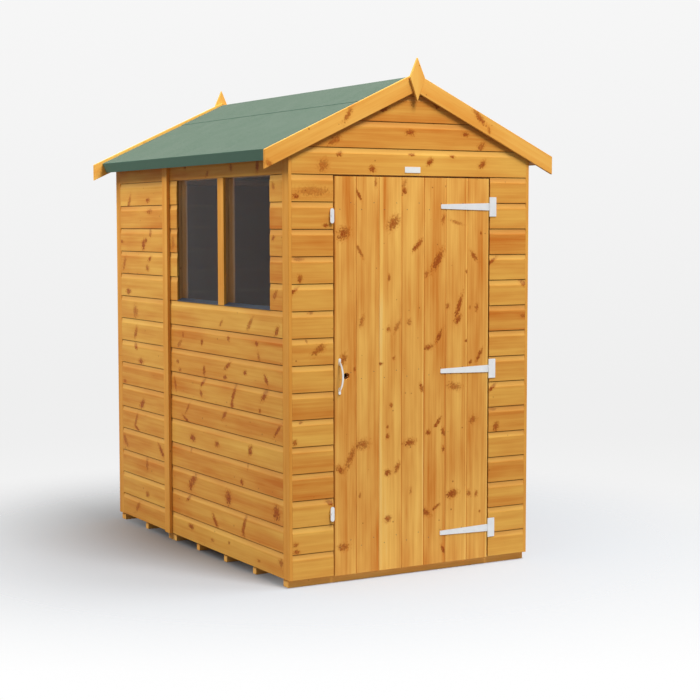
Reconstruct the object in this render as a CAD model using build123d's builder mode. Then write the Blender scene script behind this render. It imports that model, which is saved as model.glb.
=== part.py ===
"""Apex garden shed: boarded walls on light frames, a felted roof and a ledged door.

Millimetres, +Z up. The origin is on the ground under the middle of the shed, and
the door is in the front gable, which faces -Y.
"""
import os
from math import cos, radians, sin, tan

from build123d import *

os.makedirs("parts", exist_ok=True)

# Boarded walls
boarding = 12
boarding_lift = 3
wall_over_door = 120.5
back_panel_depth = 644
panel_gap = 1

# Wall frames
frame_depth = 44
frame_width = 28

# Floor
bearer_height = 29
bearer_width = 32
end_bearer_width = 46
bearer_spacing = 291
bearer_end_inset = 5
bearer_setback = 20
floor_board = 12
floor_clearance = 5
floor_joint_setback = 17

# Cover strips over the corners and the side panel joints
cover_width = 56
cover_thickness = 15

# Window in the left wall
window_from_front = 167
window_width = 950
window_height = 560
window_to_joint = 109
mullion_width = 62
glass = 3
glass_setback = 23
sill_strip_height = 14
sill_strip_nose = 3

# Roof
roof_slope = 25.1
roof_deck = 12
roof_felt = 2
deck_overhang = 4
eaves_reach = 70.5
eaves_rail_width = 28
eaves_drop = 50
ridge_rail_width = 28
ridge_rail_depth = 44
ridge_felt_width = 250
mitre_gap = 1

# Barge boards and finials
barge_thickness = 12
barge_plumb_height = 78
barge_stand = 14
barge_reach = 115.5
finial_thickness = 12
finial_width = 74
finial_rise = 63
finial_shoulder_drop = 20.5
finial_fall = 120

# Doorway and door
doorway_from_left = 209
doorway_width = 786
doorway_to_right = 208
doorway_height = 1675.5
door_gap = 5.5
door_stop_width = 15
door_stop_depth = 20
ledge_height = 95
ledge_thickness = 16
ledge_end_gap = 6
lock_hole_diameter = 28
lock_hole_inset = 57

# Strap hinges on the right of the door
bottom_hinge_rise = 132
top_hinge_drop = 122
hinge_sheet = 2.5
knuckle_radius = 4
pin_radius = 2
pin_clearance = 0.4
strap_length = 254
strap_root_height = 32
strap_tip_height = 19
strap_tip_round = 4
hinge_plate_height = 84
hinge_plate_width = 30
hinge_plate_round = 3

# Bow handle
handle_inset = 23
handle_foot_spacing = 122
handle_foot_height = 30
handle_foot_width = 11
handle_foot_thickness = 3
handle_bar_radius = 4.5
handle_projection = 34

# Turn buttons on the frame, left of the door
bottom_button_rise = 265
top_button_drop = 163
button_from_doorway = 10
button_length = 62
button_width = 18
button_thickness = 4
button_spacer_radius = 8
button_spacer = 5
button_pin_radius = 2.5
button_head_radius = 6
button_head = 3
button_clearance = 0.4

# One overrun for all cuts
overrun = 5

# Heights and faces that several pieces share
boarding_bottom = bearer_height + boarding_lift
floor_top = bearer_height + floor_board
door_head = boarding_bottom + doorway_height
window_sill = door_head - window_height
side_wall_top = door_head + wall_over_door
wall_width = doorway_from_left + doorway_width + doorway_to_right
front_panel_depth = window_from_front + window_width + window_to_joint
wall_depth = front_panel_depth + back_panel_depth
side_face = wall_width / 2
side_frame_face = side_face - boarding
side_frame_inner = side_frame_face - frame_depth
gable_edge = side_face - cover_thickness
front_face = -wall_depth / 2
back_face = wall_depth / 2
corner_front = front_face + cover_width
corner_back = back_face - cover_width
front_frame_face = front_face + boarding
back_frame_face = back_face - boarding
front_frame_inner = front_frame_face + frame_depth
back_frame_inner = back_frame_face - frame_depth
panel_joint = front_face + front_panel_depth
front_panel_end = panel_joint - panel_gap / 2
back_panel_start = panel_joint + panel_gap / 2
window_front = front_face + window_from_front
window_back = window_front + window_width
mullion_middle = (window_front + window_back) / 2
doorway_left = -side_face + doorway_from_left
doorway_right = doorway_left + doorway_width
door_left = doorway_left + door_gap
door_right = doorway_right - door_gap
door_top = door_head - door_gap
head_rail_top = door_head + frame_width

# Roof slope, and what the roof's thicknesses measure plumb
slope = radians(roof_slope)
fall = tan(slope)
ridge_underside = side_wall_top + side_face * fall
felt_ridge = ridge_underside + (roof_deck + roof_felt) / cos(slope)
ridge_felt_plumb = roof_felt / cos(slope)
gable_rail_plumb = frame_width / cos(slope)
deck_length = wall_depth + 2 * deck_overhang
deck_back = deck_length / 2
felt_end = (side_face + eaves_reach - (roof_deck + roof_felt) * sin(slope)) / cos(slope)
deck_end = felt_end - roof_felt

pieces = {}


def roof_underside(x):
    """Height of the underside of the roof boards at a place across the shed."""
    return ridge_underside - abs(x) * fall


def felt_top(x):
    """Height of the top of the felt at a place across the shed."""
    return felt_ridge - abs(x) * fall


def on_slope(side, down, above):
    """Point at a distance down the roof from the ridge, and square above the boards' underside."""
    across = down * cos(slope) + above * sin(slope)
    return side * across, ridge_underside - down * sin(slope) + above * cos(slope)


def span(start, end):
    """Length between two places and the middle of them."""
    return end - start, (start + end) / 2


def block(x_span, y_span, z_span):
    """A squared timber or sheet between two places on each axis."""
    length, x_middle = span(*x_span)
    width, y_middle = span(*y_span)
    height, z_middle = span(*z_span)
    with Locations((x_middle, y_middle, z_middle)):
        Box(length, width, height)


def spaced_places(first, last, spacing):
    """Places at a spacing from the first one on, with the last one at its own end."""
    steps = max(1, round((last - first) / spacing))
    return [first + index * spacing for index in range(steps)] + [last]


# Floor: cross bearers under two boarded sections that butt just in front of the panel joint
floor_joint = panel_joint - floor_joint_setback
front_section_end = floor_joint - panel_gap / 2
back_section_start = floor_joint + panel_gap / 2
front_bearers = spaced_places(
    front_face + bearer_setback + end_bearer_width / 2,
    front_section_end - end_bearer_width / 2,
    bearer_spacing,
)
back_bearers = spaced_places(
    back_section_start + end_bearer_width / 2,
    back_face - bearer_setback - end_bearer_width / 2,
    bearer_spacing,
)
with BuildPart() as floor_bearers:
    with BuildSketch(Plane.XY):
        for bearers in (front_bearers, back_bearers):
            for y in bearers:
                width = end_bearer_width if y in (bearers[0], bearers[-1]) else bearer_width
                with Locations((0, y)):
                    Rectangle(wall_width - 2 * bearer_end_inset, width)
    extrude(amount=bearer_height)
pieces["floor_bearers"] = floor_bearers

floor_half_width = side_frame_face - floor_clearance
floor_front = front_frame_face + floor_clearance
floor_back = back_frame_face - floor_clearance
with BuildPart() as floor_boards:
    for y_span in ((floor_front, front_section_end), (back_section_start, floor_back)):
        block((-floor_half_width, floor_half_width), y_span, (bearer_height, floor_top))
pieces["floor_boards"] = floor_boards

# Front wall: boarding beside the doorway and a gable over it
for name, x_span in (
    ("front_wall_left", (-gable_edge, doorway_left)),
    ("front_wall_right", (doorway_right, gable_edge)),
):
    with BuildPart() as wall:
        block(x_span, (front_face, front_frame_face), (boarding_bottom, door_head))
    pieces[name] = wall

with BuildPart() as front_gable:
    with BuildSketch(Plane.XZ.offset(-front_frame_face)):
        with BuildLine():
            Polyline(
                (-gable_edge, door_head),
                (gable_edge, door_head),
                (gable_edge, roof_underside(gable_edge)),
                (0, ridge_underside),
                (-gable_edge, roof_underside(gable_edge)),
                close=True,
            )
        make_face()
    extrude(amount=boarding)
pieces["front_gable"] = front_gable

# Back wall: one boarded panel up to the roof
with BuildPart() as back_wall:
    with BuildSketch(Plane.XZ.offset(-back_face)):
        with BuildLine():
            Polyline(
                (-gable_edge, boarding_bottom),
                (gable_edge, boarding_bottom),
                (gable_edge, roof_underside(gable_edge)),
                (0, ridge_underside),
                (-gable_edge, roof_underside(gable_edge)),
                close=True,
            )
        make_face()
    extrude(amount=boarding)
pieces["back_wall"] = back_wall

# Left wall: a plain rear panel and a front panel with the window cut through
left_boarding = (-side_face, -side_frame_face)
for name, y_spans, z_span in (
    ("left_rear_wall", [(back_panel_start, corner_back)], (boarding_bottom, side_wall_top)),
    ("left_wall_below_window", [(corner_front, front_panel_end)], (boarding_bottom, window_sill)),
    (
        "left_wall_beside_window",
        [(corner_front, window_front), (window_back, front_panel_end)],
        (window_sill, door_head),
    ),
    ("left_wall_above_window", [(corner_front, front_panel_end)], (door_head, side_wall_top)),
):
    with BuildPart() as wall:
        for y_span in y_spans:
            block(left_boarding, y_span, z_span)
    pieces[name] = wall

# Right wall: two plain panels
right_boarding = (side_frame_face, side_face)
for name, y_span in (
    ("right_front_wall", (corner_front, front_panel_end)),
    ("right_rear_wall", (back_panel_start, corner_back)),
):
    with BuildPart() as wall:
        block(right_boarding, y_span, (boarding_bottom, side_wall_top))
    pieces[name] = wall

# Gable frames: posts under a head rail, bottom rails in all bays but the doorway, and rails under the roof
corner_post = gable_edge - frame_width / 2
gable_posts = {
    "front": (-corner_post, doorway_left - frame_width / 2, doorway_right + frame_width / 2, corner_post),
    "back": (-corner_post, 0, corner_post),
}
frame_middle = {
    "front": (front_frame_face + front_frame_inner) / 2,
    "back": (back_frame_face + back_frame_inner) / 2,
}
for end, posts in gable_posts.items():
    with BuildPart() as studs:
        with BuildSketch(Plane.XY.offset(floor_top)):
            with Locations(*[(x, frame_middle[end]) for x in posts]):
                Rectangle(frame_width, frame_depth)
        extrude(amount=door_head - floor_top)
    pieces[f"{end}_studs"] = studs

    rail_back = frame_middle[end] + frame_depth / 2
    with BuildPart() as rails:
        with BuildSketch(Plane.XZ.offset(-rail_back)):
            for left, right in zip(posts, posts[1:]):
                length, middle = span(left + frame_width / 2, right - frame_width / 2)
                if length < doorway_width:
                    with Locations((middle, floor_top + frame_width / 2)):
                        Rectangle(length, frame_width)
            with Locations((0, door_head + frame_width / 2)):
                Rectangle(2 * gable_edge, frame_width)
            for side in (-1, 1):
                with BuildLine():
                    inner = side * mitre_gap / 2
                    outer = side * gable_edge
                    Polyline(
                        (inner, roof_underside(inner)),
                        (outer, roof_underside(outer)),
                        (outer, roof_underside(outer) - gable_rail_plumb),
                        (inner, roof_underside(inner) - gable_rail_plumb),
                        close=True,
                    )
                make_face()
        extrude(amount=frame_depth)
    pieces[f"{end}_rails"] = rails

# Side frames: posts between bottom and top rails, with the window framed on the left
front_panel_posts = (front_frame_inner + frame_width / 2, front_panel_end - frame_width / 2)
back_panel_posts = (back_panel_start + frame_width / 2, back_frame_inner - frame_width / 2)
window_posts = (window_front - frame_width / 2, window_back + frame_width / 2)
right_middle_post = sum(front_panel_posts) / 2
side_posts = {
    "left": front_panel_posts + back_panel_posts + window_posts,
    "right": front_panel_posts + back_panel_posts + (right_middle_post,),
}
side_frame_middle = {
    "left": -(side_frame_face + side_frame_inner) / 2,
    "right": (side_frame_face + side_frame_inner) / 2,
}
side_rail_top = floor_top + frame_width
top_rail_bottom = side_wall_top - frame_width
for side, posts in side_posts.items():
    x_span = (side_frame_middle[side] - frame_depth / 2, side_frame_middle[side] + frame_depth / 2)
    with BuildPart() as studs:
        with BuildSketch(Plane.XY.offset(side_rail_top)):
            with Locations(*[(side_frame_middle[side], y) for y in posts]):
                Rectangle(frame_depth, frame_width)
        extrude(amount=top_rail_bottom - side_rail_top)
        if side == "left":
            mullion_span = (mullion_middle - mullion_width / 2, mullion_middle + mullion_width / 2)
            block(x_span, mullion_span, (window_sill, door_head))
    pieces[f"{side}_studs"] = studs

    with BuildPart() as rails:
        for y_span in ((front_frame_inner, front_panel_end), (back_panel_start, back_frame_inner)):
            block(x_span, y_span, (floor_top, side_rail_top))
            block(x_span, y_span, (top_rail_bottom, side_wall_top))
        if side == "left":
            block(x_span, (window_front, window_back), (window_sill - frame_width, window_sill))
            block(x_span, (window_front, window_back), (door_head, head_rail_top))
        else:
            middle_rail = ((floor_top + side_wall_top) / 2, (floor_top + side_wall_top) / 2 + frame_width)
            ordered = sorted(posts)
            for start, end in zip(ordered, ordered[1:]):
                if end - start > 2 * frame_width:
                    block(x_span, (start + frame_width / 2, end - frame_width / 2), middle_rail)
    pieces[f"{side}_rails"] = rails

# Cover strips: flush with the side boarding at each corner, and over it at each panel joint
corner_strip = (gable_edge + side_face) / 2
joint_strip = side_face + cover_thickness / 2
with BuildPart() as cover_strips:
    for x, places, top in (
        (corner_strip, (front_face + cover_width / 2, back_face - cover_width / 2), side_wall_top),
        (joint_strip, (panel_joint,), roof_underside(side_face + cover_thickness)),
    ):
        with BuildSketch(Plane.XY.offset(boarding_bottom)):
            with Locations(*[(side * x, y) for side in (-1, 1) for y in places]):
                Rectangle(cover_thickness, cover_width)
        extrude(amount=top - boarding_bottom)
pieces["cover_strips"] = cover_strips

# Window: two panes between the posts, a flush mullion strip and a sloping strip along each sill
pane_spans = (
    (window_front, mullion_middle - mullion_width / 2),
    (mullion_middle + mullion_width / 2, window_back),
)
glass_face = -side_face + glass_setback
with BuildPart() as window_panes:
    for y_span in pane_spans:
        block((glass_face, glass_face + glass), y_span, (window_sill, door_head))
pieces["window_panes"] = window_panes

with BuildPart() as window_mullion:
    block(
        left_boarding,
        (mullion_middle - mullion_width / 2, mullion_middle + mullion_width / 2),
        (window_sill, door_head),
    )
pieces["window_mullion"] = window_mullion

with BuildPart() as window_sill_strips:
    for y_span in pane_spans:
        with BuildSketch(Plane.XZ.offset(-y_span[1])):
            with BuildLine():
                Polyline(
                    (-side_face, window_sill),
                    (glass_face, window_sill),
                    (glass_face, window_sill + sill_strip_height),
                    (-side_face, window_sill + sill_strip_nose),
                    close=True,
                )
            make_face()
        extrude(amount=y_span[1] - y_span[0])
pieces["window_sill_strips"] = window_sill_strips

# Roof boards, mitred at the ridge and cut square at the eaves, with felt turned down over the edge
felt_above = roof_deck + roof_felt
eaves_below = felt_above - eaves_drop
for side, name in ((-1, "left"), (1, "right")):
    ridge_end = side * mitre_gap / 2
    with BuildPart() as deck:
        with BuildSketch(Plane.XZ.offset(-deck_back)):
            with BuildLine():
                Polyline(
                    (ridge_end, roof_underside(ridge_end)),
                    on_slope(side, deck_end, 0),
                    on_slope(side, deck_end, roof_deck),
                    (ridge_end, felt_top(ridge_end) - ridge_felt_plumb),
                    close=True,
                )
            make_face()
        extrude(amount=deck_length)
    pieces[f"{name}_roof_deck"] = deck

    with BuildPart() as felt:
        with BuildSketch(Plane.XZ.offset(-deck_back)):
            with BuildLine():
                Polyline(
                    (ridge_end, felt_top(ridge_end)),
                    on_slope(side, felt_end, felt_above),
                    on_slope(side, felt_end, eaves_below),
                    on_slope(side, deck_end, eaves_below),
                    on_slope(side, deck_end, roof_deck),
                    (ridge_end, felt_top(ridge_end) - ridge_felt_plumb),
                    close=True,
                )
            make_face()
        extrude(amount=deck_length)
    pieces[f"{name}_roof_felt"] = felt

# Roof rails: two under the ridge and one behind the felt at each eaves
with BuildPart() as roof_rails:
    for side in (-1, 1):
        inner = side * mitre_gap / 2
        outer = side * (mitre_gap / 2 + ridge_rail_width)
        with BuildSketch(Plane.XZ.offset(-back_frame_inner)):
            with BuildLine():
                Polyline(
                    (inner, roof_underside(inner)),
                    (outer, roof_underside(outer)),
                    (outer, roof_underside(inner) - ridge_rail_depth),
                    (inner, roof_underside(inner) - ridge_rail_depth),
                    close=True,
                )
            make_face()
        extrude(amount=back_frame_inner - front_frame_inner)
        with BuildSketch(Plane.XZ.offset(-deck_back)):
            with BuildLine():
                Polyline(
                    on_slope(side, deck_end - eaves_rail_width, 0),
                    on_slope(side, deck_end, 0),
                    on_slope(side, deck_end, eaves_below),
                    on_slope(side, deck_end - eaves_rail_width, eaves_below),
                    close=True,
                )
            make_face()
        extrude(amount=deck_length)
pieces["roof_rails"] = roof_rails

# Ridge felt: a strip folded over the ridge and lapped onto both slopes, with its edges cut square
with BuildPart() as ridge_felt:
    with BuildSketch(Plane.XZ.offset(-deck_back)):
        with BuildLine():
            Polyline(
                (0, felt_top(0)),
                on_slope(1, ridge_felt_width, felt_above),
                on_slope(1, ridge_felt_width, felt_above + roof_felt),
                (0, felt_top(0) + ridge_felt_plumb),
                on_slope(-1, ridge_felt_width, felt_above + roof_felt),
                on_slope(-1, ridge_felt_width, felt_above),
                close=True,
            )
        make_face()
    extrude(amount=deck_length)
pieces["ridge_felt"] = ridge_felt

# Barge boards and finials on both gables
barge_end = side_face + barge_reach
barge_ridge = felt_top(0) + barge_stand
finial_shoulder = barge_ridge - finial_shoulder_drop
barge_back = {"front": -deck_back, "back": deck_back + barge_thickness}
finial_back = {"front": -deck_back - barge_thickness, "back": deck_back + barge_thickness + finial_thickness}
for end in ("front", "back"):
    with BuildPart() as barge_boards:
        with BuildSketch(Plane.XZ.offset(-barge_back[end])):
            for side in (-1, 1):
                inner = side * mitre_gap / 2
                outer = side * barge_end
                with BuildLine():
                    Polyline(
                        (inner, felt_top(inner) + barge_stand),
                        (outer, felt_top(outer) + barge_stand),
                        (outer, felt_top(outer) + barge_stand - barge_plumb_height),
                        (inner, felt_top(inner) + barge_stand - barge_plumb_height),
                        close=True,
                    )
                make_face()
        extrude(amount=barge_thickness)
    pieces[f"{end}_barge_boards"] = barge_boards

    with BuildPart() as finial:
        with BuildSketch(Plane.XZ.offset(-finial_back[end])):
            with BuildLine():
                Polyline(
                    (0, barge_ridge + finial_rise),
                    (finial_width / 2, finial_shoulder),
                    (0, barge_ridge - finial_fall),
                    (-finial_width / 2, finial_shoulder),
                    close=True,
                )
            make_face()
        extrude(amount=finial_thickness)
    pieces[f"{end}_finial"] = finial

# Door: boards flush with the walls, three ledges behind them, a bored lock hole and stops on the frame
bottom_hinge = boarding_bottom + bottom_hinge_rise
top_hinge = door_top - top_hinge_drop
middle_hinge = (bottom_hinge + top_hinge) / 2
hinge_heights = (bottom_hinge, middle_hinge, top_hinge)
lock_hole = (door_left + lock_hole_inset, middle_hinge)
ledge_back = front_frame_face + ledge_thickness
stop_edge = doorway_left + door_stop_width
with BuildPart() as door_boards:
    block((door_left, door_right), (front_face, front_frame_face), (boarding_bottom, door_top))
    with BuildSketch(Plane.XZ.offset(-front_frame_face - overrun)):
        with Locations(lock_hole):
            Circle(lock_hole_diameter / 2)
    extrude(amount=boarding + 2 * overrun, mode=Mode.SUBTRACT)
pieces["door_boards"] = door_boards

with BuildPart() as door_ledges:
    for height in hinge_heights:
        block(
            (stop_edge + ledge_end_gap, door_right - door_stop_width),
            (front_frame_face, ledge_back),
            (height - ledge_height / 2, height + ledge_height / 2),
        )
    with BuildSketch(Plane.XZ.offset(-ledge_back - overrun)):
        with Locations(lock_hole):
            Circle(lock_hole_diameter / 2)
    extrude(amount=ledge_thickness + 2 * overrun, mode=Mode.SUBTRACT)
pieces["door_ledges"] = door_ledges

stop_face = front_frame_face + door_gap
with BuildPart() as door_stops:
    block(
        (doorway_left, stop_edge),
        (stop_face, stop_face + door_stop_depth),
        (floor_top, door_head - door_stop_width - mitre_gap),
    )
    block(
        (doorway_left, doorway_right),
        (stop_face, stop_face + door_stop_depth),
        (door_head - door_stop_width, door_head),
    )
pieces["door_stops"] = door_stops

# Strap hinges: a tapered strap with the middle knuckle, and a plate with the outer knuckles and the pin
hinge_x = (door_right + doorway_right) / 2
hinge_y = front_face - knuckle_radius
knuckle_end = strap_root_height / 2
plate_edge = hinge_x + knuckle_radius + pin_clearance
with BuildPart() as hinge_straps:
    for height in hinge_heights:
        with BuildSketch(Plane.XZ.offset(-front_face)) as strap_outline:
            with BuildLine():
                Polyline(
                    (hinge_x, height + strap_root_height / 2),
                    (hinge_x - strap_length, height + strap_tip_height / 2),
                    (hinge_x - strap_length, height - strap_tip_height / 2),
                    (hinge_x, height - strap_root_height / 2),
                    close=True,
                )
            make_face()
            fillet(strap_outline.vertices().group_by(Axis.X)[0], strap_tip_round)
        extrude(amount=hinge_sheet)
        with BuildSketch(Plane.XY.offset(height - knuckle_end)):
            with Locations((hinge_x, hinge_y)):
                Circle(knuckle_radius)
        extrude(amount=strap_root_height)
        with BuildSketch(Plane.XY.offset(height - knuckle_end - overrun)):
            with Locations((hinge_x, hinge_y)):
                Circle(pin_radius + pin_clearance)
        extrude(amount=strap_root_height + 2 * overrun, mode=Mode.SUBTRACT)
pieces["hinge_straps"] = hinge_straps

with BuildPart() as hinge_plates:
    for height in hinge_heights:
        with BuildSketch(Plane.XZ.offset(-front_face)) as plate_outline:
            with Locations((plate_edge + hinge_plate_width / 2, height)):
                Rectangle(hinge_plate_width, hinge_plate_height)
            fillet(plate_outline.vertices().group_by(Axis.X)[-1], hinge_plate_round)
        extrude(amount=hinge_sheet)
        for bottom, top in (
            (height - hinge_plate_height / 2, height - knuckle_end - pin_clearance),
            (height + knuckle_end + pin_clearance, height + hinge_plate_height / 2),
        ):
            block((hinge_x, plate_edge + overrun), (front_face - hinge_sheet, front_face), (bottom, top))
            with BuildSketch(Plane.XY.offset(bottom)):
                with Locations((hinge_x, hinge_y)):
                    Circle(knuckle_radius)
            extrude(amount=top - bottom)
        with BuildSketch(Plane.XY.offset(height - hinge_plate_height / 2)):
            with Locations((hinge_x, hinge_y)):
                Circle(pin_radius)
        extrude(amount=hinge_plate_height)
pieces["hinge_plates"] = hinge_plates

# Bow handle: a round bar bent to an arc between two foot plates, level with the lock hole
handle_x = door_left + handle_inset
half_chord = handle_foot_spacing / 2
bow_rise = handle_projection - handle_bar_radius
bow_radius = (half_chord**2 + bow_rise**2) / (2 * bow_rise)
bow_centre_y = front_face - bow_rise + bow_radius
with BuildPart() as door_handle:
    with BuildSketch(Plane.XY.offset(middle_hinge)):
        with Locations((handle_x, front_face - bow_rise)):
            Circle(handle_bar_radius)
    revolve(
        axis=Axis((0, bow_centre_y, middle_hinge), (1, 0, 0)),
        revolution_arc=360,
    )
    split(bisect_by=Plane.XZ.offset(-front_face), keep=Keep.TOP)
    with BuildSketch(Plane.XZ.offset(-front_face)):
        with Locations(*[(handle_x, middle_hinge + sign * half_chord) for sign in (-1, 1)]):
            SlotOverall(handle_foot_height, handle_foot_width, rotation=90)
    extrude(amount=handle_foot_thickness)
pieces["door_handle"] = door_handle

# Turn buttons: flat bars that turn on headed pins, held clear of the door by a spacer
button_x = doorway_left - button_from_doorway
button_heights = {"bottom": boarding_bottom + bottom_button_rise, "top": door_top - top_button_drop}
button_back = front_face - button_spacer - button_clearance
button_front = button_back - button_thickness
for name, height in button_heights.items():
    with BuildPart() as button:
        with BuildSketch(Plane.XZ.offset(-button_back)):
            with Locations((button_x, height)):
                SlotOverall(button_length, button_width, rotation=90)
                Circle(button_pin_radius + button_clearance, mode=Mode.SUBTRACT)
        extrude(amount=button_thickness)
    pieces[f"{name}_turn_button"] = button

head_back = button_front - button_clearance
with BuildPart() as button_pins:
    for radius, back, front in (
        (button_spacer_radius, front_face, front_face - button_spacer),
        (button_pin_radius, front_face, head_back),
        (button_head_radius, head_back, head_back - button_head),
    ):
        with BuildSketch(Plane.XZ.offset(-back)):
            with Locations(*[(button_x, height) for height in button_heights.values()]):
                Circle(radius)
        extrude(amount=back - front)
pieces["button_pins"] = button_pins

for name, piece in pieces.items():
    piece.part.label = name
    export_step(piece.part, f"parts/{name}.step")
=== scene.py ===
"""Apex garden shed: the looks of its boards, felt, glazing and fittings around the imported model.

Metres, +Z up, in the part's own frame. The door faces -Y.
"""
import random
from math import atan2, cos, inf, pi, radians, sin

import bmesh
import bpy
from mathutils import Matrix, Vector


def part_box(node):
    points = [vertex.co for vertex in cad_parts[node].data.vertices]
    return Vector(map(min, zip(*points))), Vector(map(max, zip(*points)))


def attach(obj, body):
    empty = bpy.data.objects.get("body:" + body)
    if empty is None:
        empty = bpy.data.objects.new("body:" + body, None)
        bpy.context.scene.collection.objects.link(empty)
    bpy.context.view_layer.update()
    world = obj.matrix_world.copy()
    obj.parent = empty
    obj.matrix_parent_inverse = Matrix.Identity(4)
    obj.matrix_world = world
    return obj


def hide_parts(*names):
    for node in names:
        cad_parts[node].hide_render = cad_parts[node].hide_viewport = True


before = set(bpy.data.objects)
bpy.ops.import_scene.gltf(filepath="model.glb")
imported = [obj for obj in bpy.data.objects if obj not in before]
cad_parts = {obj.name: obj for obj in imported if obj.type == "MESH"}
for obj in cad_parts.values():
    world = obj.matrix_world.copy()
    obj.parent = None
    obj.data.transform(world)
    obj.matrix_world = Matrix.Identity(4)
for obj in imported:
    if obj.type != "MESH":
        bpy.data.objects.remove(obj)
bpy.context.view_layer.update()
scene = bpy.context.scene

# Shiplap boarding
board_cover = 0.112
board_thickness = 0.012
cove_height = 0.025
cove_depth = 0.0026
cove_curve = 2.2
cove_steps = 6
lap_depth = 0.006
lap_groove = 0.0026
lap_tongue = 0.008
lap_play = 0.0008
board_arris = 0.001
gable_courses = 4

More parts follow.
